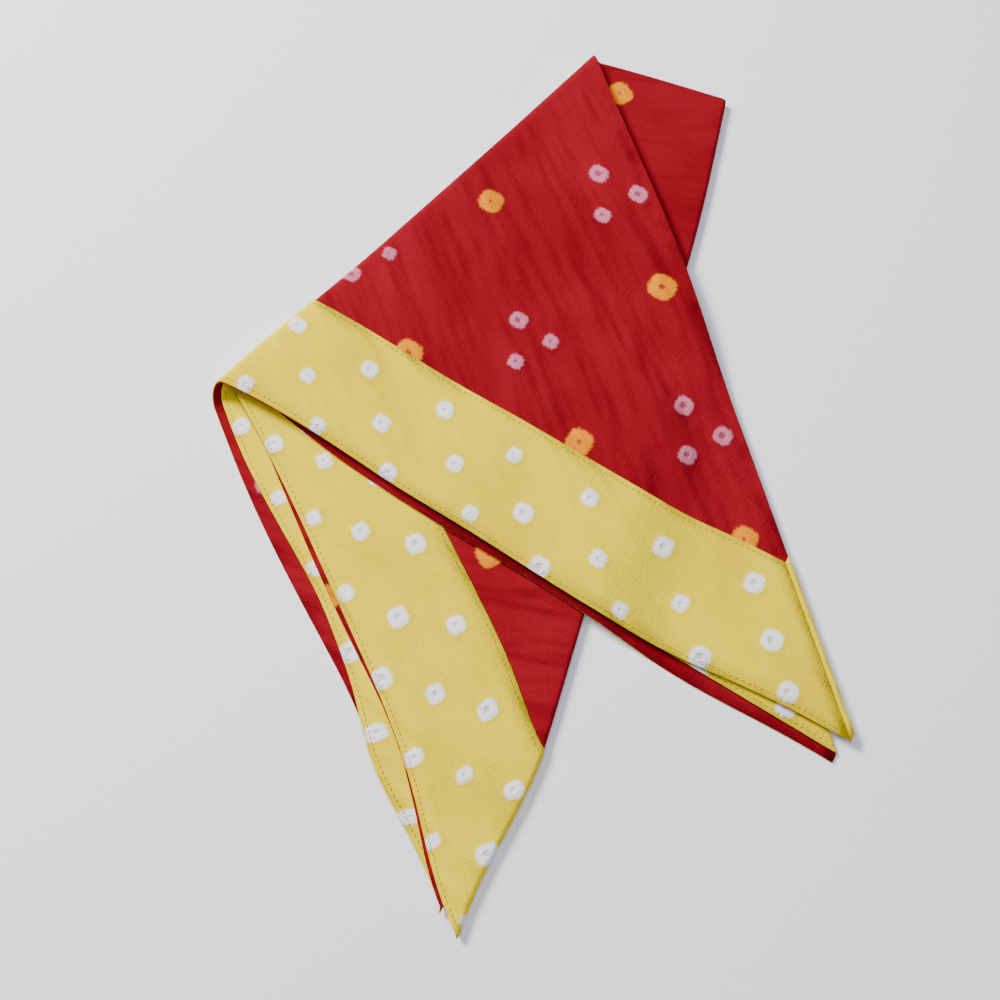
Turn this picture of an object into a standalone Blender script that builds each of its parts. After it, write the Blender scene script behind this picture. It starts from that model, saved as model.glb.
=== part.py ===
"""Bandhani kerchief, folded and lying flat.

A red tie-dyed square of cotton, backed all over, with four yellow border
strips sewn on its face and mitred at the corners. It is folded in half along
one diagonal, in half again along the other, and then once more across, which
lays one leg of the triangle over the rest.

Flat cloth is measured in p and q, which run from the centre to the corners:
corner A is at -p, B at -q, C at +p and D at +q. Sizes are in mm, and the
meshes are in metres.
"""

from collections import namedtuple
from itertools import product
from math import cos, pi, radians, sin, sqrt, tan

import bmesh
import bpy
from mathutils import Matrix, Vector

MM = 0.001

# The cloth as it is cut
SIDE = 600.0                 # side of the square panel
BORDER = 58.0                # width of each border strip
PLY = 1.0                    # thickness of the panel and of the strips
SEAM_AIR = 0.35              # between a strip and the panel, and between strips
BACK_AIR = 0.4               # between two backs of the folded panel
FACE_AIR = 0.6               # between two faces of the folded cloth
HALF = SIDE / sqrt(2)        # centre to corner
INNER_CORNER = HALF - BORDER * sqrt(2)   # centre to a corner of the red field

# The plies, as distances from the middle of the panel towards its face
PANEL_PLY = (-PLY / 2, PLY / 2)
STRIP_PLY = (PLY / 2 + SEAM_AIR, PLY * 1.5 + SEAM_AIR)
FACE = STRIP_PLY[1]

# The folds. Each turns up and over what lies past its edge, about an axis at
# a height above the middle of the lowest layer.
FIRST_SHIFT = 3.0            # first fold, off the diagonal from A to C
SECOND_SHIFT = 2.0           # second fold, off the centre
SECOND_TURN = radians(1.03)  # and turned off the diagonal from B to D
THIRD_TOP = 66.0             # third fold, from the centre along the first fold
THIRD_HEM = 271.0            # third fold, from the corner B along the hem

BEND_STEPS = 6               # flats round each bend
GRID_STEPS = 9               # cells across the panel inside its border
CUT_SNAP = 0.05              # a cut this close to a corner goes through it
WELD = 0.4                   # corners this close become one

LIE_ANGLE = radians(-18.5)   # how the folded cloth is turned on the table

# How far each hem bows inwards from a straight line: from the corner B or D,
# over a half width along the hem
Bow = namedtuple("Bow", "hem middle half_width inwards")
BOWS = (
    Bow("AB", 215, 140, -6.0),
    Bow("AB", 490, 110, -5.0),
    Bow("AD", 235, 90, -6.0),
    Bow("AD", 70, 90, -5.0),
    Bow("CB", 205, 130, 4.0),
    Bow("CB", 540, 100, -3.0),
    Bow("CD", 130, 150, -4.0),
    Bow("CD", 400, 110, 3.0),
)
BOW_DEPTH = 170.0            # how far in from the hem a bow dies away

# Where the folded cloth stands fuller, round places in the folded plan
Swell = namedtuple("Swell", "p q radius more")
SWELLS = (
    Swell(-185, -222, 95, 0.16),
    Swell(-95, -60, 80, -0.10),
    Swell(10, -190, 90, 0.07),
    Swell(60, -280, 70, -0.08),
    Swell(-40, -360, 60, 0.10),
)

# The open end of the third fold, where the turned leg is drawn back
DRAW_AT = Vector((-185, -225))
DRAW_BY = Vector((1.7, 7.8))
DRAW_RADIUS = 120.0

# The third crease leans out of its line at the top and into it at the hem
LEAN_TOP = 13.0
LEAN_HEM = -1.0
LEAN_DEPTH = 110.0           # how far in from the crease the lean dies away

# The two layers on the inside of the third fold travel less far round it
SLIP = 12.0
SLIP_RUN = 60.0

# The second crease runs along the mitres of the corners B and D
MITRE_START = 290.0          # from the centre, where the cloth starts to shift
MITRE_SPREAD = 70.0          # how far to each side of the mitre it shifts
TIP_START = 335.0            # from the centre, where the tip turns aside
TIP_SET = Vector((-12.5, 0.0))
TUCK = Vector((-9.0, 1.0))   # how the tip of the two inner layers draws back

# Past the second crease the turned leg drops to the table
DROP_START = 2.0
DROP_RUN = 38.0
DROP_STEPS = 5               # flats down the drop

SETTLE_START = 4.0           # in from the seam, where the panel starts to sink
SETTLE_RUN = 34.0            # length of the slope down to the table
SETTLE_HEIGHT = 5.0          # height up to which the layers sink with it

# Linear colours
RED = (0.38, 0.012, 0.02, 1.0)
YELLOW = (0.85, 0.72, 0.05, 1.0)

A = Vector((-HALF, 0))
B = Vector((0, -HALF))
C = Vector((HALF, 0))
D = Vector((0, HALF))
HEMS = {"AB": (A, B), "AD": (A, D), "CD": (C, D), "CB": (C, B)}


class Fold:
    """A straight fold that turns what lies on the left of its line over."""

    def __init__(self, start, end, axis):
        along = (end - start).normalized()
        self.start = start
        self.end = end
        self.aside = Vector((-along.y, along.x))
        self.axis = axis
        self.reach = axis + FACE

    def past(self, spot):
        """How far a spot lies past the line."""
        return (spot.xy - self.start).dot(self.aside)

    def mirror(self, spot):
        """The spot on the other side of the line."""
        return spot.xy - 2 * self.past(spot) * self.aside

    def apply(self, point):
        """Where the fold takes a point of the cloth."""
        past = self.past(point)
        radius = self.axis - point.z
        if past <= -self.reach:
            return point
        if past >= self.reach:
            place, height = -past, self.axis + radius
        else:
            turn = pi * (past + self.reach) / (2 * self.reach)
            place = radius * sin(turn) - self.reach
            height = self.axis - radius * cos(turn)
        moved = point.xy + (place - past) * self.aside
        return Vector((moved.x, moved.y, height))


def make_folds():
    """The three folds, in the order in which they are made."""
    first_axis = PLY / 2 + BACK_AIR / 2
    second_axis = 2 * first_axis + FACE + FACE_AIR / 2
    third_axis = 2 * second_axis + FACE + FACE_AIR / 2
    level = Vector((0, FIRST_SHIFT))
    first = Fold(level, level + Vector((1, 0)), first_axis)
    downhill = Vector((sin(SECOND_TURN), -cos(SECOND_TURN)))
    centre = Vector((SECOND_SHIFT, 0))
    second = Fold(centre, centre + downhill, second_axis)
    hem = (A - B).normalized()
    third = Fold(B + THIRD_HEM * hem, Vector((-THIRD_TOP, FIRST_SHIFT)), third_axis)
    return first, second, third


FOLDS = make_folds()


def smooth(value):
    """A soft step from 0 to 1."""
    value = min(max(value, 0.0), 1.0)
    return value * value * (3 - 2 * value)


def hem_place(spot, hem):
    """How far a spot lies along a hem from B or D, and in from the hem."""
    far, near = HEMS[hem]
    along = (far - near).normalized()
    inwards = -(near + far).normalized()
    return (spot - near).dot(along), (spot - near).dot(inwards), inwards


def ease(spot):
    """Shift a spot of the flat square with the bows of its own hem, and with
    the mitres at B and D onto the second crease."""
    own = ("A" if spot.x < 0 else "C") + ("B" if spot.y < 0 else "D")
    along, depth, inwards = hem_place(spot, own)
    shift = 0.0
    for bow in BOWS:
        if bow.hem == own:
            shift += bow.inwards * smooth(1 - abs(along - bow.middle) / bow.half_width)
    middle_line = smooth(min(abs(spot.x), abs(spot.y)) / BORDER)
    eased = spot + shift * middle_line * smooth(1 - depth / BOW_DEPTH) * inwards
    to_crease = SECOND_SHIFT + abs(spot.y) * tan(SECOND_TURN)
    near_mitre = smooth((abs(spot.y) - MITRE_START) / (INNER_CORNER - MITRE_START))
    near_mitre *= smooth(1 - abs(spot.x) / MITRE_SPREAD)
    return eased + Vector((to_crease * near_mitre, 0))


def settle(point):
    """Let the panel sink to the table inside the lowest strip."""
    depth = hem_place(point.xy, "AB")[1] - BORDER - SETTLE_START
    sink = (FACE - PLY / 2) * smooth(depth / SETTLE_RUN)
    share = (SETTLE_HEIGHT - point.z) / (SETTLE_HEIGHT + PLY / 2)
    return Vector((point.x, point.y, point.z - sink * min(max(share, 0.0), 1.0)))


def drop(point):
    """Let the turned leg down to the table past the second crease."""
    height = FOLDS[2].axis + FACE_AIR / 2 + FACE
    beyond = (FOLDS[1].past(point) - DROP_START) / DROP_RUN
    return point - Vector((0, 0, height * smooth(beyond)))


def lean(spot):
    """Turn the third crease a little out of its own line."""
    crease = FOLDS[-1]
    down = crease.start - crease.end
    along = (spot - crease.end).dot(down) / down.length_squared
    shift = LEAN_TOP + (LEAN_HEM - LEAN_TOP) * min(max(along, 0.0), 1.0)
    return spot + shift * smooth(1 + crease.past(spot) / LEAN_DEPTH) * crease.aside


def loosen(point):
    """Draw back and swell the folded cloth where it lies loosely."""
    height = point.z + FACE
    top = 2 * (FOLDS[-1].axis + FACE)
    drawn = smooth(1 - (point.xy - DRAW_AT).length / DRAW_RADIUS)
    place = lean(point.xy) + DRAW_BY * drawn * height / top
    scale = 1.0
    for swell in SWELLS:
        away = (place - Vector((swell.p, swell.q))).length
        scale += swell.more * smooth(1 - away / swell.radius)
    return Vector((place.x, place.y, height * scale))


def lay(spot, ply):
    """Where a spot of the eased flat cloth, at a ply's distance, lies folded."""
    first, second, third = FOLDS
    point = second.apply(first.apply(Vector((spot.x, spot.y, -ply))))
    tip = smooth((-point.y - TIP_START) / (HALF - TIP_START))
    point.xy += TIP_SET * tip
    if first.past(spot) > 0:
        point.xy += TUCK * tip
    if second.past(spot) > 0:
        point.xy += SLIP * smooth(third.past(point) / SLIP_RUN) * third.aside
    point = loosen(drop(settle(third.apply(point))))
    return Matrix.Rotation(LIE_ANGLE, 3, "Z") @ point


def turned_by(spot, folds):
    """Which of the folds turn a spot of the flat cloth over."""
    turned = []
    for fold in folds:
        over = fold.past(spot) > 0
        turned.append(over)
        if over:
            spot = fold.mirror(spot)
    return turned


def cut(mesh, start, end, wanted=None):
    """Cut the flat mesh along a line, all of it or the wanted faces."""
    faces = [face for face in mesh.faces if wanted is None or wanted(face)]
    edges = {edge for face in faces for edge in face.edges}
    corners = {corner for face in faces for corner in face.verts}
    along = end - start
    bmesh.ops.bisect_plane(
        mesh, geom=[*corners, *edges, *faces], dist=CUT_SNAP,
        plane_co=(start.x, start.y, 0), plane_no=(-along.y, along.x, 0))


def cut_layer(mesh, start, end, folds, layer):
    """Cut one layer of the flat cloth along a line of the folded plan."""
    for fold, over in reversed(list(zip(folds, layer))):
        if over:
            start, end = fold.mirror(start), fold.mirror(end)
        if fold is FOLDS[2] and layer[1]:
            start, end = start - SLIP * fold.aside, end - SLIP * fold.aside
    cut(mesh, start, end, lambda face: turned_by(
        face.calc_center_median().xy, folds) == layer)


def cut_bends(mesh):
    """Cut the flat cloth along each bend, through each layer it turns."""
    for place, fold in enumerate(FOLDS):
        for layer in product([False, True], repeat=place):
            for step in range(BEND_STEPS + 1):
                offset = (2 * step / BEND_STEPS - 1) * fold.reach * fold.aside
                cut_layer(mesh, fold.start + offset, fold.end + offset,
                          FOLDS[:place], list(layer))


def cut_drop(mesh):
    """Cut the turned leg's layers where it drops to the table."""
    crease = FOLDS[1]
    for layer in product([False, True], repeat=2):
        for step in range(DROP_STEPS + 1):
            offset = (DROP_START + DROP_RUN * step / DROP_STEPS) * crease.aside
            cut_layer(mesh, crease.start + offset, crease.end + offset,
                      FOLDS, [*layer, True])


def cut_grid(mesh):
    """Cut the flat cloth along its seams, its mitres and an even grid."""
    inside = SIDE - 2 * BORDER
    depths = [BORDER / 2, SIDE - BORDER / 2]
    depths += [BORDER + inside * step / GRID_STEPS for step in range(GRID_STEPS + 1)]
    for hem in ("AB", "AD"):
        far, near = HEMS[hem]
        inwards = hem_place(near, hem)[2]
        for depth in depths:
            cut(mesh, near + depth * inwards, far + depth * inwards)
    cut(mesh, A, C, lambda face: abs(face.calc_center_median().x) > INNER_CORNER)
    cut(mesh, B, D, lambda face: abs(face.calc_center_median().y) > INNER_CORNER)


def strip_at(spot):
    """Which strip lies on a spot of the flat square, from 1, or 0 for none."""
    depths = [hem_place(spot, hem)[1] for hem in HEMS]
    return depths.index(min(depths)) + 1 if min(depths) < BORDER else 0


def flat_cloth():
    """The eased square, cut wherever it bends, as one flat sheet of triangles.
    A face's material index is the number of the strip that lies on it."""
    mesh = bmesh.new()
    mesh.faces.new([mesh.verts.new((*corner, 0)) for corner in (A, B, C, D)])
    cut_grid(mesh)
    for face in mesh.faces:
        face.material_index = strip_at(face.calc_center_median().xy)
    for corner in mesh.verts:
        corner.co.xy = ease(corner.co.xy)
    cut_bends(mesh)
    cut_drop(mesh)
    bmesh.ops.remove_doubles(mesh, verts=mesh.verts[:], dist=WELD)
    bmesh.ops.triangulate(mesh, faces=mesh.faces[:])
    mesh.verts.index_update()
    return mesh


def trim_mitre(corner, hem):
    """A strip's corner, drawn back from the mitre where it meets another."""
    strips = {face.material_index for face in corner.link_faces} - {0}
    if len(strips) < 2:
        return corner.co.xy
    far, near = HEMS[hem]
    inwards = (far + near) / 2 - corner.co.xy
    way = (far - near).normalized()
    return corner.co.xy + SEAM_AIR * (way if inwards.dot(way) > 0 else -way)


def add_sheet(name, faces, plies, material, place=lambda corner: corner.co.xy):
    """A folded solid sheet between two plies, from faces of the flat cloth."""
    mesh = bmesh.new()
    skins = []
    for ply in plies:
        skins.append({})
        for face in faces:
            for corner in face.verts:
                if corner.index not in skins[-1]:
                    point = lay(place(corner), ply) * MM
                    skins[-1][corner.index] = mesh.verts.new(point)
    back, front = skins
    uses = {}
    for face in faces:
        ring = [corner.index for corner in face.verts]
        mesh.faces.new([back[index] for index in ring])
        mesh.faces.new([front[index] for index in reversed(ring)])
        for first, second in zip(ring, ring[1:] + ring[:1]):
            uses.setdefault(frozenset((first, second)), []).append((first, second))
    for sides in uses.values():
        if len(sides) == 1:
            first, second = sides[0]
            mesh.faces.new((back[second], back[first], front[first], front[second]))
    bmesh.ops.triangulate(mesh, faces=[face for face in mesh.faces if len(face.verts) > 3])
    bmesh.ops.recalc_face_normals(mesh, faces=mesh.faces[:])
    data = bpy.data.meshes.new(name)
    mesh.to_mesh(data)
    mesh.free()
    data.materials.append(material)
    data.shade_smooth()
    data.set_sharp_from_angle(angle=radians(40))
    sheet = bpy.data.objects.new(name, data)
    bpy.context.collection.objects.link(sheet)
    return sheet


def cotton(name, colour):
    """A matt woven cotton."""
    material = bpy.data.materials.new(name)
    material.use_nodes = True
    shader = material.node_tree.nodes["Principled BSDF"]
    shader.inputs["Base Color"].default_value = colour
    shader.inputs["Roughness"].default_value = 0.85
    shader.inputs["Metallic"].default_value = 0.0
    return material


def rest_on_origin(sheets):
    """Stand the sheets on the origin, by the middle of their box's floor."""
    corners = [vertex.co for sheet in sheets for vertex in sheet.data.vertices]
    low = [min(corner[axis] for corner in corners) for axis in range(3)]
    high = [max(corner[axis] for corner in corners) for axis in range(3)]
    middle = Vector(((low[0] + high[0]) / 2, (low[1] + high[1]) / 2, low[2]))
    for sheet in sheets:
        sheet.data.transform(Matrix.Translation(-middle))


def build():
    """Make the panel and its four strips."""
    for thing in list(bpy.data.objects):
        bpy.data.objects.remove(thing, do_unlink=True)
    cloth = flat_cloth()
    sheets = [add_sheet("red_panel", list(cloth.faces), PANEL_PLY, cotton("red_cotton", RED))]
    for number, hem in enumerate(HEMS, start=1):
        faces = [face for face in cloth.faces if face.material_index == number]
        name = f"border_strip_{number}"
        sheets.append(add_sheet(name, faces, STRIP_PLY, cotton(name, YELLOW),
                                lambda corner, hem=hem: trim_mitre(corner, hem)))
    cloth.free()
    rest_on_origin(sheets)


build()
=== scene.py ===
"""Looks of the folded bandhani kerchief, in thin cotton.

The cloth is cut flat, taken through three folds and laid. Flat cloth is
measured in p and q from the centre to the corners: corner A is at -p, B at
-q, C at +p and D at +q. Sizes are in mm unless a name says otherwise.
"""

from collections import namedtuple
from itertools import product
from math import cos, pi, radians, sin, sqrt, tan

import bmesh
import bpy
from mathutils import Matrix, Vector


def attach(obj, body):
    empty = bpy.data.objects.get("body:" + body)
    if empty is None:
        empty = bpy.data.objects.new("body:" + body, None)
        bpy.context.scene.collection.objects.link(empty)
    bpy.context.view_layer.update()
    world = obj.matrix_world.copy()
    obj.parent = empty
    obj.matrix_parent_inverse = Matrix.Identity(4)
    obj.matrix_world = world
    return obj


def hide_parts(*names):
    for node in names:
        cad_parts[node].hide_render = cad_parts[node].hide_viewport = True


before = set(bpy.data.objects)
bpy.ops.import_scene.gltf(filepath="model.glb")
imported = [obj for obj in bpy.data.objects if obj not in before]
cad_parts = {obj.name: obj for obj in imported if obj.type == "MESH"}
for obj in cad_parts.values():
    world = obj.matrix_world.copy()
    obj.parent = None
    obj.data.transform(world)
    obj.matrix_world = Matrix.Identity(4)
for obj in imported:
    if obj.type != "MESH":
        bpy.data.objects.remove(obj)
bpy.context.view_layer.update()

MM = 0.001

# The cloth as it is cut
SIDE = 600.0                 # side of the square panel
BORDER = 58.0                # width of each border strip
PLY = 0.4                    # thickness of the panel and of the strips
SEAM_AIR = 0.12              # between a strip and the panel, and between strips
BACK_AIR = 0.5               # between two backs of the folded panel
FACE_AIR = 0.6               # between two faces of the folded cloth
HALF = SIDE / sqrt(2)        # centre to corner
INNER_CORNER = HALF - BORDER * sqrt(2)   # centre to a corner of the red field

# The plies, as distances from the middle of the panel towards its face
PANEL_PLY = (-PLY / 2, PLY / 2)
STRIP_PLY = (PLY / 2 + SEAM_AIR, PLY * 1.5 + SEAM_AIR)
FACE = STRIP_PLY[1]

# The folds. Each turns up and over what lies past its edge, about an axis at
# a height above the middle of the lowest layer.
FIRST_SHIFT = 3.0            # first fold, off the diagonal from A to C
SECOND_SHIFT = 2.0           # second fold, off the centre
SECOND_TURN = radians(1.03)  # and turned off the diagonal from B to D
THIRD_TOP = 66.0             # third fold, from the centre along the first fold
THIRD_HEM = 271.0            # third fold, from the corner B along the hem

BEND_STEPS = 10              # flats round each bend
GRID_STEPS = 56    # cells across the panel inside its border
BORDER_STEPS = 7    # cells across a border strip
CUT_SNAP = 0.05              # a cut this close to a corner goes through it
WELD = 0.4                   # corners this close become one

LIE_ANGLE = radians(-18.5)   # how the folded cloth is turned on the table

# How far each hem bows inwards from a straight line: from the corner B or D,
# over a half width along the hem
Bow = namedtuple("Bow", "hem middle half_width inwards")
BOWS = (
    Bow("AB", 215, 140, -6.0),
    Bow("AB", 490, 110, -5.0),
    Bow("AD", 235, 90, -6.0),
    Bow("AD", 70, 90, -5.0),
    Bow("CB", 205, 130, 4.0),
    Bow("CB", 540, 100, -3.0),
    Bow("CD", 130, 150, -4.0),
    Bow("CD", 400, 110, 3.0),
)
BOW_DEPTH = 170.0            # how far in from the hem a bow dies away

# Where the folded cloth stands fuller, round places in the folded plan
Swell = namedtuple("Swell", "p q radius more")
SWELLS = (
    Swell(-185, -222, 95, 0.45),
    Swell(-95, -60, 80, -0.10),
    Swell(10, -190, 90, 0.07),
    Swell(60, -280, 70, -0.08),
    Swell(-40, -360, 60, 0.10),
)

# The open end of the third fold, where the turned leg is drawn back
DRAW_AT = Vector((-185, -225))
DRAW_BY = Vector((1.7, 7.8))
DRAW_RADIUS = 120.0

# The third crease leans out of its line at the top and into it at the hem
LEAN_TOP = 13.0
LEAN_HEM = -1.0
LEAN_DEPTH = 110.0           # how far in from the crease the lean dies away

# The two layers on the inside of the third fold travel less far round it
SLIP = 12.0
SLIP_RUN = 60.0

# The second crease runs along the mitres of the corners B and D
MITRE_START = 290.0          # from the centre, where the cloth starts to shift
MITRE_SPREAD = 70.0          # how far to each side of the mitre it shifts
TIP_START = 335.0            # from the centre, where the tip turns aside
TIP_SET = Vector((-12.5, 0.0))
TUCK = Vector((-9.0, 1.0))   # how the tip of the two inner layers draws back

# Past the second crease the turned leg drops to the table
DROP_START = 2.0
DROP_RUN = 38.0
DROP_STEPS = 8               # flats down the drop

SETTLE_START = 4.0           # in from the seam, where the panel starts to sink
SETTLE_RUN = 34.0            # length of the slope down to the table
SETTLE_HEIGHT = 2.2          # height up to which the layers sink with it

# The stitches along each strip
STITCH = 2.9                 # from one stitch to the next
STITCH_LONG = 2.2            # length of the thread that shows
STITCH_WIDE = 0.42
STITCH_HIGH = 0.16
STITCH_ROWS = (2.0, BORDER - 2.0)   # in from the hem

# Linear colours
RED = (0.25, 0.006, 0.013, 1.0)
RED_DEEP = (0.19, 0.003, 0.008, 1.0)
PINK = (0.55, 0.17, 0.26, 1.0)
ORANGE = (0.72, 0.22, 0.001, 1.0)
YELLOW = (0.82, 0.64, 0.001, 1.0)
YELLOW_DEEP = (0.74, 0.54, 0.001, 1.0)
WHITE = (0.90, 0.86, 0.90, 1.0)
ROSE = (0.66, 0.30, 0.40, 1.0)
THREAD = (0.24, 0.08, 0.01, 1.0)
FLOOR = (0.90, 0.90, 0.98, 1.0)

# The tied dots of a strip: how far in from the hem each row lies, and where
# along it the row begins
DOT_PITCH = 40.2
DOT_ROWS = ((5.0, 4.5), (22.0, 27.5), (42.0, 10.0))

# The tied spots of the red field: an orange spot and, about half a repeat away, a
# loose group of three pink ones
FIELD_PITCH = 90.0
ORANGE_AT = (72.0, 60.0)
PINKS_AT = ((18.5, 12.0), (40.0, 10.0), (31.0, -9.0))

# A tied spot is a rounded square: the power that its corners follow, how much
# its size varies, and how ragged its edge is
SPOT_CORNERS = 2.8
SPOT_VARIES = 1.3
SPOT_RAGGED = 2.6

# How far out from a spot's middle its dye fades, from full to none, and how
# strongly it shows
Fade = namedtuple("Fade", "full none strength")
WHITE_DOT = Fade(3.3, 4.7, 0.95)
WHITE_HEART = Fade(-0.4, 1.3, 0.6)
ORANGE_SPOT = Fade(5.2, 6.9, 1.0)
ORANGE_HEART = Fade(0.2, 1.7, 0.85)
PINK_DOT = Fade(3.0, 4.4, 0.9)
PINK_HEART = Fade(0.0, 1.5, 0.7)

# The relief of the cloth, in mm, and how it rises and dips round a spot
WEAVE_HIGH = 0.55
YELLOW_CREASES = 5.0
RED_CREASES = 8.0
YELLOW_SLANT = 1.2           # radians, from straight in from the hem
RED_SLANT = 0.9
DIMPLE = -0.5
DIMPLE_FADE = Fade(0.2, 1.6, 1.0)
YELLOW_PEAK = Fade(1.0, 7.0, 0.45)
RED_PEAK = Fade(1.0, 8.0, 0.5)

# The camera
CAMERA_PLACE = (-0.0080, -0.1806, 0.4797)    # metres
CAMERA_TILT = radians(17.7)
LENS = 38.99                 # mm, on a sensor 36 mm wide

# Place in metres, size in metres, watts and colour
Lamp = namedtuple("Lamp", "name place size power colour")
LAMPS = (
    Lamp("window", (-1.1, 0.9, 1.2), 0.6, 74.0, (1.0, 0.99, 0.97)),
    Lamp("sky", (0.2, -0.1, 2.2), 2.4, 46.0, (0.93, 0.95, 1.0)),
)

A = Vector((-HALF, 0))
B = Vector((0, -HALF))
C = Vector((HALF, 0))
D = Vector((0, HALF))
HEMS = {"AB": (A, B), "AD": (A, D), "CD": (C, D), "CB": (C, B)}


class Fold:
    """A straight fold that turns what lies on the left of its line over."""

    def __init__(self, start, end, axis):
        along = (end - start).normalized()
        self.start = start
        self.end = end
        self.aside = Vector((-along.y, along.x))
        self.axis = axis
        self.reach = axis + FACE

    def past(self, spot):
        """How far a spot lies past the line."""
        return (spot.xy - self.start).dot(self.aside)

    def mirror(self, spot):
        """The spot on the other side of the line."""
        return spot.xy - 2 * self.past(spot) * self.aside

    def apply(self, point):
        """Where the fold takes a point of the cloth."""
        past = self.past(point)
        radius = self.axis - point.z
        if past <= -self.reach:
            return point
        if past >= self.reach:
            place, height = -past, self.axis + radius
        else:
            turn = pi * (past + self.reach) / (2 * self.reach)
            place = radius * sin(turn) - self.reach
            height = self.axis - radius * cos(turn)
        moved = point.xy + (place - past) * self.aside
        return Vector((moved.x, moved.y, height))


def make_folds():
    """The three folds, in the order in which they are made."""
    first_axis = PLY / 2 + BACK_AIR / 2
    second_axis = 2 * first_axis + FACE + FACE_AIR / 2
    third_axis = 2 * second_axis + FACE + FACE_AIR / 2
    level = Vector((0, FIRST_SHIFT))
    first = Fold(level, level + Vector((1, 0)), first_axis)
    downhill = Vector((sin(SECOND_TURN), -cos(SECOND_TURN)))
    centre = Vector((SECOND_SHIFT, 0))
    second = Fold(centre, centre + downhill, second_axis)
    hem = (A - B).normalized()
    third = Fold(B + THIRD_HEM * hem, Vector((-THIRD_TOP, FIRST_SHIFT)), third_axis)
    return first, second, third


FOLDS = make_folds()


def smooth(value):
    """A soft step from 0 to 1."""
    value = min(max(value, 0.0), 1.0)
    return value * value * (3 - 2 * value)


def hem_place(spot, hem):
    """How far a spot lies along a hem from B or D, and in from the hem."""
    far, near = HEMS[hem]
    along = (far - near).normalized()
    inwards = -(near + far).normalized()
    return (spot - near).dot(along), (spot - near).dot(inwards), inwards


def ease(spot):
    """Shift a spot of the flat square with the bows of its own hem, and with
    the mitres at B and D onto the second crease."""
    own = ("A" if spot.x < 0 else "C") + ("B" if spot.y < 0 else "D")
    along, depth, inwards = hem_place(spot, own)
    shift = 0.0
    for bow in BOWS:
        if bow.hem == own:
            shift += bow.inwards * smooth(1 - abs(along - bow.middle) / bow.half_width)
    middle_line = smooth(min(abs(spot.x), abs(spot.y)) / BORDER)
    eased = spot + shift * middle_line * smooth(1 - depth / BOW_DEPTH) * inwards
    to_crease = SECOND_SHIFT + abs(spot.y) * tan(SECOND_TURN)
    near_mitre = smooth((abs(spot.y) - MITRE_START) / (INNER_CORNER - MITRE_START))
    near_mitre *= smooth(1 - abs(spot.x) / MITRE_SPREAD)
    return eased + Vector((to_crease * near_mitre, 0))


def settle(point):
    """Let the panel sink to the table inside the lowest strip."""
    depth = hem_place(point.xy, "AB")[1] - BORDER - SETTLE_START
    sink = (FACE - PLY / 2) * smooth(depth / SETTLE_RUN)
    share = (SETTLE_HEIGHT - point.z) / (SETTLE_HEIGHT + PLY / 2)
    return Vector((point.x, point.y, point.z - sink * min(max(share, 0.0), 1.0)))


def drop(point):
    """Let the turned leg down to the table past the second crease."""
    height = FOLDS[2].axis + FACE_AIR / 2 + FACE
    beyond = (FOLDS[1].past(point) - DROP_START) / DROP_RUN
    return point - Vector((0, 0, height * smooth(beyond)))


def lean(spot):
    """Turn the third crease a little out of its own line."""
    crease = FOLDS[-1]
    down = crease.start - crease.end
    along = (spot - crease.end).dot(down) / down.length_squared
    shift = LEAN_TOP + (LEAN_HEM - LEAN_TOP) * min(max(along, 0.0), 1.0)
    return spot + shift * smooth(1 + crease.past(spot) / LEAN_DEPTH) * crease.aside


def loosen(point):
    """Draw back and swell the folded cloth where it lies loosely."""
    height = point.z + FACE
    top = 2 * (FOLDS[-1].axis + FACE)
    drawn = smooth(1 - (point.xy - DRAW_AT).length / DRAW_RADIUS)
    place = lean(point.xy) + DRAW_BY * drawn * height / top
    scale = 1.0
    for swell in SWELLS:
        away = (place - Vector((swell.p, swell.q))).length
        scale += swell.more * smooth(1 - away / swell.radius)
    return Vector((place.x, place.y, height * scale))


def lay(spot, ply):
    """Where a spot of the eased flat cloth, at a ply's distance, lies folded."""
    first, second, third = FOLDS
    point = second.apply(first.apply(Vector((spot.x, spot.y, -ply))))
    tip = smooth((-point.y - TIP_START) / (HALF - TIP_START))
    point.xy += TIP_SET * tip
    if first.past(spot) > 0:
        point.xy += TUCK * tip
    if second.past(spot) > 0:
        point.xy += SLIP * smooth(third.past(point) / SLIP_RUN) * third.aside
    point = loosen(drop(settle(third.apply(point))))
    return Matrix.Rotation(LIE_ANGLE, 3, "Z") @ point


def turned_by(spot, folds):
    """Which of the folds turn a spot of the flat cloth over."""
    turned = []
    for fold in folds:
        over = fold.past(spot) > 0
        turned.append(over)
        if over:
            spot = fold.mirror(spot)
    return turned


def cut(mesh, start, end, wanted=None):
    """Cut the flat mesh along a line, all of it or the wanted faces."""
    faces = [face for face in mesh.faces if wanted is None or wanted(face)]
    edges = {edge for face in faces for edge in face.edges}
    corners = {corner for face in faces for corner in face.verts}
    along = end - start
    bmesh.ops.bisect_plane(
        mesh, geom=[*corners, *edges, *faces], dist=CUT_SNAP,
        plane_co=(start.x, start.y, 0), plane_no=(-along.y, along.x, 0))


def cut_layer(mesh, start, end, folds, layer):
    """Cut one layer of the flat cloth along a line of the folded plan."""
    for fold, over in reversed(list(zip(folds, layer))):
        if over:
            start, end = fold.mirror(start), fold.mirror(end)
        if fold is FOLDS[2] and layer[1]:
            start, end = start - SLIP * fold.aside, end - SLIP * fold.aside
    cut(mesh, start, end, lambda face: turned_by(
        face.calc_center_median().xy, folds) == layer)


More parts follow.
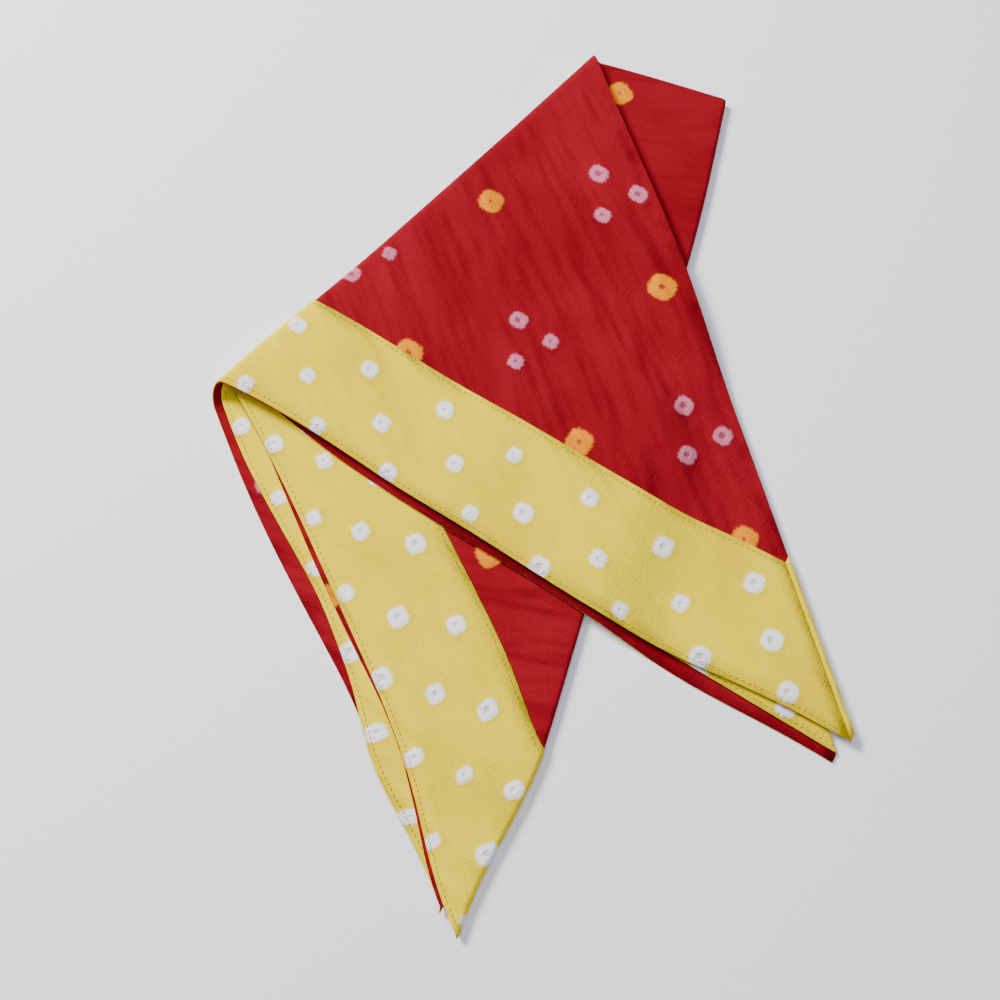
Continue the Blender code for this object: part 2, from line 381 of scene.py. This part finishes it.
def cut_bends(mesh):
    """Cut the flat cloth along each bend, through each layer it turns."""
    for place, fold in enumerate(FOLDS):
        for layer in product([False, True], repeat=place):
            for step in range(BEND_STEPS + 1):
                offset = (2 * step / BEND_STEPS - 1) * fold.reach * fold.aside
                cut_layer(mesh, fold.start + offset, fold.end + offset,
                          FOLDS[:place], list(layer))


def cut_drop(mesh):
    """Cut the turned leg's layers where it drops to the table."""
    crease = FOLDS[1]
    for layer in product([False, True], repeat=2):
        for step in range(DROP_STEPS + 1):
            offset = (DROP_START + DROP_RUN * step / DROP_STEPS) * crease.aside
            cut_layer(mesh, crease.start + offset, crease.end + offset,
                      FOLDS, [*layer, True])


def cut_grid(mesh):
    """Cut the flat cloth along its seams, its mitres and an even grid."""
    inside = SIDE - 2 * BORDER
    steps = [BORDER * step / BORDER_STEPS for step in range(1, BORDER_STEPS)]
    depths = steps + [SIDE - step for step in steps]
    depths += [BORDER + inside * step / GRID_STEPS for step in range(GRID_STEPS + 1)]
    for hem in ("AB", "AD"):
        far, near = HEMS[hem]
        inwards = hem_place(near, hem)[2]
        for depth in depths:
            cut(mesh, near + depth * inwards, far + depth * inwards)
    cut(mesh, A, C, lambda face: abs(face.calc_center_median().x) > INNER_CORNER)
    cut(mesh, B, D, lambda face: abs(face.calc_center_median().y) > INNER_CORNER)


def strip_at(spot):
    """Which strip lies on a spot of the flat square, from 1, or 0 for none."""
    depths = [hem_place(spot, hem)[1] for hem in HEMS]
    return depths.index(min(depths)) + 1 if min(depths) < BORDER else 0


def flat_cloth():
    """The eased square, cut wherever it bends, as one flat sheet of triangles.
    A face's material index is the number of the strip that lies on it."""
    mesh = bmesh.new()
    mesh.faces.new([mesh.verts.new((*corner, 0)) for corner in (A, B, C, D)])
    cut_grid(mesh)
    flat = mesh.verts.layers.float_vector.new("flat")
    for corner in mesh.verts:
        corner[flat] = corner.co
    for face in mesh.faces:
        face.material_index = strip_at(face.calc_center_median().xy)
    for corner in mesh.verts:
        corner.co.xy = ease(corner.co.xy)
    cut_bends(mesh)
    cut_drop(mesh)
    bmesh.ops.remove_doubles(mesh, verts=mesh.verts[:], dist=WELD)
    bmesh.ops.triangulate(mesh, faces=mesh.faces[:])
    mesh.verts.index_update()
    return mesh


def trim_mitre(corner, hem):
    """A strip's corner, drawn back from the mitre where it meets another."""
    strips = {face.material_index for face in corner.link_faces} - {0}
    if len(strips) < 2:
        return corner.co.xy
    far, near = HEMS[hem]
    inwards = (far + near) / 2 - corner.co.xy
    way = (far - near).normalized()
    return corner.co.xy + SEAM_AIR * (way if inwards.dot(way) > 0 else -way)


def add_piece(name, mesh, material):
    """Show a finished mesh as a piece of the cloth."""
    data = bpy.data.meshes.new(name)
    mesh.to_mesh(data)
    mesh.free()
    data.materials.append(material)
    piece = bpy.data.objects.new(name, data)
    bpy.context.collection.objects.link(piece)
    return piece


def add_sheet(name, cloth, faces, plies, material, hem, place):
    """A folded sheet between two plies, from faces of the flat cloth. Its UV
    map runs along the hem from B or D, and in from the hem, in metres."""
    mesh = bmesh.new()
    flat = cloth.verts.layers.float_vector["flat"]
    cloth_map = mesh.loops.layers.uv.new("flat")
    spots = {}
    skins = []
    for ply in plies:
        skins.append({})
        for face in faces:
            for corner in face.verts:
                if corner.index not in skins[-1]:
                    point = lay(place(corner), ply) * MM
                    made = mesh.verts.new(point)
                    skins[-1][corner.index] = made
                    along, depth, _ = hem_place(corner[flat].xy, hem)
                    spots[made] = Vector((along, depth)) * MM
    back, front = skins
    uses = {}
    for face in faces:
        ring = [corner.index for corner in face.verts]
        mesh.faces.new([back[index] for index in ring])
        mesh.faces.new([front[index] for index in reversed(ring)])
        for first, second in zip(ring, ring[1:] + ring[:1]):
            uses.setdefault(frozenset((first, second)), []).append((first, second))
    for sides in uses.values():
        if len(sides) == 1:
            first, second = sides[0]
            mesh.faces.new((back[second], back[first], front[first], front[second]))
    for face in mesh.faces:
        face.smooth = len(face.verts) == 3
        for loop in face.loops:
            loop[cloth_map].uv = spots[loop.vert]
    bmesh.ops.recalc_face_normals(mesh, faces=mesh.faces[:])
    return add_piece(name, mesh, material)


def add_stitches(name, hem, material):
    """The two rows of stitches that hold a strip, at its hem and its seam."""
    mesh = bmesh.new()
    far, near = HEMS[hem]
    along = (far - near).normalized()
    inwards = hem_place(near, hem)[2]
    for row in STITCH_ROWS:
        for count in range(int((SIDE - 2 * row) / STITCH)):
            middle = near + (row + STITCH * (count + 0.5)) * along + row * inwards
            ends = [lay(ease(middle + side * STITCH_LONG / 2 * along), FACE) for side in (-1, 1)]
            sides = [lay(ease(middle + side * STITCH_WIDE / 2 * inwards), FACE)
                     for side in (-1, 1)]
            top = lay(ease(middle), FACE + STITCH_HIGH)
            corners = [mesh.verts.new(point * MM)
                       for point in (ends[0], sides[0], ends[1], sides[1], top)]
            for place in range(4):
                mesh.faces.new((corners[place], corners[(place + 1) % 4], corners[4]))
            mesh.faces.new(corners[3::-1])
    bmesh.ops.recalc_face_normals(mesh, faces=mesh.faces[:])
    return add_piece(name, mesh, material)


class Nodes:
    """A material's nodes, with one short call for each kind used here."""

    def __init__(self, name, roughness):
        self.material = bpy.data.materials.new(name)
        self.material.use_nodes = True
        self.tree = self.material.node_tree
        self.shader = self.tree.nodes["Principled BSDF"]
        self.shader.inputs["Roughness"].default_value = roughness
        self.shader.inputs["Metallic"].default_value = 0.0
        self.shader.inputs["Specular IOR Level"].default_value = 0.05

    def put(self, socket, value):
        """Link a socket to another node, or set its value."""
        if isinstance(value, bpy.types.NodeSocket):
            self.tree.links.new(value, socket)
        else:
            socket.default_value = value

    def maths(self, operation, *values):
        """A sum of numbers or of other nodes' results."""
        node = self.tree.nodes.new("ShaderNodeMath")
        node.operation = operation
        for socket, value in zip(node.inputs, values):
            self.put(socket, value)
        return node.outputs[0]

    def pair(self, across, up, depth=0.0):
        node = self.tree.nodes.new("ShaderNodeCombineXYZ")
        for socket, value in zip(node.inputs, (across, up, depth)):
            self.put(socket, value)
        return node.outputs[0]

    def split(self, vector):
        node = self.tree.nodes.new("ShaderNodeSeparateXYZ")
        self.put(node.inputs[0], vector)
        return node.outputs

    def chance(self, vector):
        """Three random shares, the same for each place of a repeat."""
        node = self.tree.nodes.new("ShaderNodeTexWhiteNoise")
        node.noise_dimensions = "3D"
        self.put(node.inputs["Vector"], vector)
        return self.split(node.outputs["Color"])

    def cloud(self, vector, detail=3.0):
        """Soft uneven noise, from 0 to 1."""
        node = self.tree.nodes.new("ShaderNodeTexNoise")
        self.put(node.inputs["Vector"], vector)
        node.inputs["Scale"].default_value = 1.0
        node.inputs["Detail"].default_value = detail
        return node.outputs["Fac"]

    def step(self, value, zero, one):
        """A soft step, from 0 at one value to 1 at another."""
        node = self.tree.nodes.new("ShaderNodeMapRange")
        node.interpolation_type = "SMOOTHSTEP"
        self.put(node.inputs["Value"], value)
        node.inputs["From Min"].default_value = zero
        node.inputs["From Max"].default_value = one
        return node.outputs["Result"]

    def fade(self, away, fade):
        """How strongly a spot's dye or relief shows at a distance from it."""
        return self.maths("MULTIPLY", self.step(away, fade.none, fade.full), fade.strength)

    def mix(self, share, first, second):
        node = self.tree.nodes.new("ShaderNodeMix")
        node.data_type = "RGBA"
        self.put(node.inputs[0], share)
        self.put(node.inputs[6], first)
        self.put(node.inputs[7], second)
        return node.outputs[2]

    def cloth_place(self):
        """How far along and in from the hem, in mm."""
        node = self.tree.nodes.new("ShaderNodeUVMap")
        node.uv_map = "flat"
        along, depth, _ = self.split(node.outputs[0])
        return self.maths("MULTIPLY", along, 1000.0), self.maths("MULTIPLY", depth, 1000.0)

    def spots(self, along, depth, first, pitch, stray, seed):
        """How far the cloth is from the nearest of a repeat of tied spots:
        rounded squares. A pitch of None means a single row."""
        places = []
        offsets = []
        for value, start, every in zip((along, depth), first, pitch):
            offset = self.maths("SUBTRACT", value, start)
            cell = 0.0
            if every:
                cell = self.maths("ROUND", self.maths("DIVIDE", offset, every))
                offset = self.maths("SUBTRACT", offset, self.maths("MULTIPLY", cell, every))
            places.append(cell)
            offsets.append(offset)
        luck = self.chance(self.pair(*places, seed))
        powers = []
        for offset, share in zip(offsets, luck):
            moved = self.maths("ADD", offset, self.maths(
                "MULTIPLY", self.maths("SUBTRACT", share, 0.5), stray))
            powers.append(self.maths("POWER", self.maths("ABSOLUTE", moved), SPOT_CORNERS))
        away = self.maths("POWER", self.maths("ADD", *powers), 1 / SPOT_CORNERS)
        bigger = self.maths("MULTIPLY", self.maths("SUBTRACT", luck[2], 0.5), SPOT_VARIES)
        return self.maths("ADD", away, bigger)

    def ragged(self, along, depth, away):
        """A spot's distance with the uneven edge that tying leaves."""
        fine = self.cloud(self.pair(self.maths("MULTIPLY", along, 0.7),
                                    self.maths("MULTIPLY", depth, 0.7)), 4.0)
        return self.maths("ADD", away, self.maths(
            "MULTIPLY", self.maths("SUBTRACT", fine, 0.5), SPOT_RAGGED))

    def weave(self, along, depth):
        """Slubby threads both ways, from 0 to 1."""
        warp = self.cloud(self.pair(self.maths("MULTIPLY", along, 0.16),
                                    self.maths("MULTIPLY", depth, 1.5)), 2.0)
        weft = self.cloud(self.pair(self.maths("MULTIPLY", along, 1.5),
                                    self.maths("MULTIPLY", depth, 0.16)), 2.0)
        return self.maths("MULTIPLY", self.maths("ADD", warp, weft), 0.5)

    def creases(self, along, depth, slant):
        """Long soft wrinkles that run aslant to the hem, from 0 to 1."""
        across = self.maths("ADD", self.maths("MULTIPLY", along, cos(slant)),
                            self.maths("MULTIPLY", depth, sin(slant)))
        down = self.maths("SUBTRACT", self.maths("MULTIPLY", depth, cos(slant)),
                          self.maths("MULTIPLY", along, sin(slant)))
        return self.cloud(self.pair(self.maths("MULTIPLY", across, 0.055),
                                    self.maths("MULTIPLY", down, 0.014)), 2.0)

    def raise_by(self, *heights):
        """Bump the surface by heights given in mm."""
        total = heights[0]
        for height in heights[1:]:
            total = self.maths("ADD", total, height)
        node = self.tree.nodes.new("ShaderNodeBump")
        node.inputs["Distance"].default_value = MM
        self.put(node.inputs["Height"], total)
        self.tree.links.new(node.outputs[0], self.shader.inputs["Normal"])


def yellow_cotton():
    """Yellow cotton with three rows of small white tied dots."""
    nodes = Nodes("yellow_bandhani", 0.9)
    along, depth = nodes.cloth_place()
    away = None
    for seed, (row, start) in enumerate(DOT_ROWS):
        found = nodes.spots(along, depth, (start, row), (DOT_PITCH, None), 4.0, float(seed))
        away = found if away is None else nodes.maths("MINIMUM", away, found)
    edge = nodes.ragged(along, depth, away)
    broad = nodes.cloud(nodes.pair(nodes.maths("MULTIPLY", along, 0.02),
                                   nodes.maths("MULTIPLY", depth, 0.02)))
    weave = nodes.weave(along, depth)
    colour = nodes.mix(nodes.step(broad, 0.35, 0.7), YELLOW, YELLOW_DEEP)
    colour = nodes.mix(nodes.maths("MULTIPLY", nodes.step(weave, 0.35, 0.65), 0.25),
                       colour, YELLOW_DEEP)
    colour = nodes.mix(nodes.fade(edge, WHITE_DOT), colour, WHITE)
    colour = nodes.mix(nodes.fade(edge, WHITE_HEART), colour, ROSE)
    nodes.put(nodes.shader.inputs["Base Color"], colour)
    nodes.raise_by(nodes.maths("MULTIPLY", weave, WEAVE_HIGH),
                   nodes.maths("MULTIPLY", nodes.creases(along, depth, YELLOW_SLANT), YELLOW_CREASES),
                   nodes.fade(away, YELLOW_PEAK),
                   nodes.maths("MULTIPLY", nodes.fade(away, DIMPLE_FADE), DIMPLE))
    return nodes.material


def red_cotton():
    """Red cotton with orange spots and groups of three small pink ones."""
    nodes = Nodes("red_bandhani", 0.9)
    along, depth = nodes.cloth_place()
    both = (FIELD_PITCH, FIELD_PITCH)
    orange_away = nodes.spots(along, depth, ORANGE_AT, both, 6.0, 5.0)
    pink_away = None
    for seed, start in enumerate(PINKS_AT):
        found = nodes.spots(along, depth, start, both, 4.0, 7.0 + seed)
        pink_away = found if pink_away is None else nodes.maths("MINIMUM", pink_away, found)
    orange_edge = nodes.ragged(along, depth, orange_away)
    pink_edge = nodes.ragged(along, depth, pink_away)
    weave = nodes.weave(along, depth)
    broad = nodes.cloud(nodes.pair(nodes.maths("MULTIPLY", along, 0.015),
                                   nodes.maths("MULTIPLY", depth, 0.015)))
    colour = nodes.mix(nodes.step(broad, 0.3, 0.7), RED, RED_DEEP)
    colour = nodes.mix(nodes.maths("MULTIPLY", nodes.step(weave, 0.35, 0.65), 0.3),
                       colour, RED_DEEP)
    colour = nodes.mix(nodes.fade(orange_edge, ORANGE_SPOT), colour, ORANGE)
    colour = nodes.mix(nodes.fade(orange_edge, ORANGE_HEART), colour, RED)
    colour = nodes.mix(nodes.fade(pink_edge, PINK_DOT), colour, PINK)
    colour = nodes.mix(nodes.fade(pink_edge, PINK_HEART), colour, RED)
    nodes.put(nodes.shader.inputs["Base Color"], colour)
    away = nodes.maths("MINIMUM", orange_away, pink_away)
    nodes.raise_by(nodes.maths("MULTIPLY", weave, WEAVE_HIGH),
                   nodes.maths("MULTIPLY", nodes.creases(along, depth, RED_SLANT), RED_CREASES),
                   nodes.fade(away, RED_PEAK),
                   nodes.maths("MULTIPLY", nodes.fade(away, DIMPLE_FADE), DIMPLE))
    return nodes.material


def thread():
    """The brown thread of the stitches."""
    nodes = Nodes("stitch_thread", 0.8)
    nodes.put(nodes.shader.inputs["Base Color"], THREAD)
    return nodes.material


def floor_paint():
    """A plain pale surface."""
    nodes = Nodes("pale_floor", 0.7)
    nodes.put(nodes.shader.inputs["Base Color"], FLOOR)
    return nodes.material


def rest_on_origin(pieces):
    """Stand the pieces on the origin, by the middle of their box's floor."""
    corners = [vertex.co for piece in pieces for vertex in piece.data.vertices]
    low = [min(corner[axis] for corner in corners) for axis in range(3)]
    high = [max(corner[axis] for corner in corners) for axis in range(3)]
    middle = Vector(((low[0] + high[0]) / 2, (low[1] + high[1]) / 2, low[2]))
    for piece in pieces:
        piece.data.transform(Matrix.Translation(-middle))


def add_floor():
    """The pale surface that the cloth lies on."""
    mesh = bmesh.new()
    bmesh.ops.create_grid(mesh, x_segments=1, y_segments=1, size=3.0)
    piece = add_piece("floor", mesh, floor_paint())
    return piece


def add_cloth(floor):
    """The panel and its strips, each standing for its part, and their stitches."""
    cloth = flat_cloth()
    yellow = yellow_cotton()
    brown = thread()
    panel = add_sheet("red_cloth", cloth, list(cloth.faces), PANEL_PLY, red_cotton(), "AB",
                      lambda corner: corner.co.xy)
    strips = []
    rows = []
    for number, hem in enumerate(HEMS, start=1):
        faces = [face for face in cloth.faces if face.material_index == number]
        strips.append(add_sheet(f"yellow_strip_{number}", cloth, faces, STRIP_PLY, yellow, hem,
                                lambda corner, hem=hem: trim_mitre(corner, hem)))
        rows.append(add_stitches(f"stitches_{number}", hem, brown))
    cloth.free()
    rest_on_origin([panel, *strips, *rows])
    declare(panel, strips, rows)


def declare(panel, strips, rows):
    """Attach each piece to the root, and hide the part that the panel or a strip stands for."""
    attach(panel, "root")
    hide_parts("red_panel")
    for number, (strip, row) in enumerate(zip(strips, rows), start=1):
        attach(strip, "root")
        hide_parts(f"border_strip_{number}")
        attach(row, "root")


def add_camera():
    """The camera stands over the near side of the cloth and looks down at it."""
    data = bpy.data.cameras.new("camera")
    data.sensor_width = 36.0
    data.lens = LENS
    camera = bpy.data.objects.new("camera", data)
    camera.location = CAMERA_PLACE
    camera.rotation_euler = (CAMERA_TILT, 0.0, 0.0)
    bpy.context.collection.objects.link(camera)
    bpy.context.scene.camera = camera


def add_lamps():
    """A soft window at the upper left, and the room's own light."""
    for lamp in LAMPS:
        data = bpy.data.lights.new(lamp.name, "AREA")
        data.size = lamp.size
        data.energy = lamp.power
        data.color = lamp.colour
        light = bpy.data.objects.new(lamp.name, data)
        light.location = lamp.place
        light.rotation_euler = (-Vector(lamp.place)).to_track_quat("-Z", "Y").to_euler()
        bpy.context.collection.objects.link(light)


add_cloth(add_floor())
add_camera()
add_lamps()
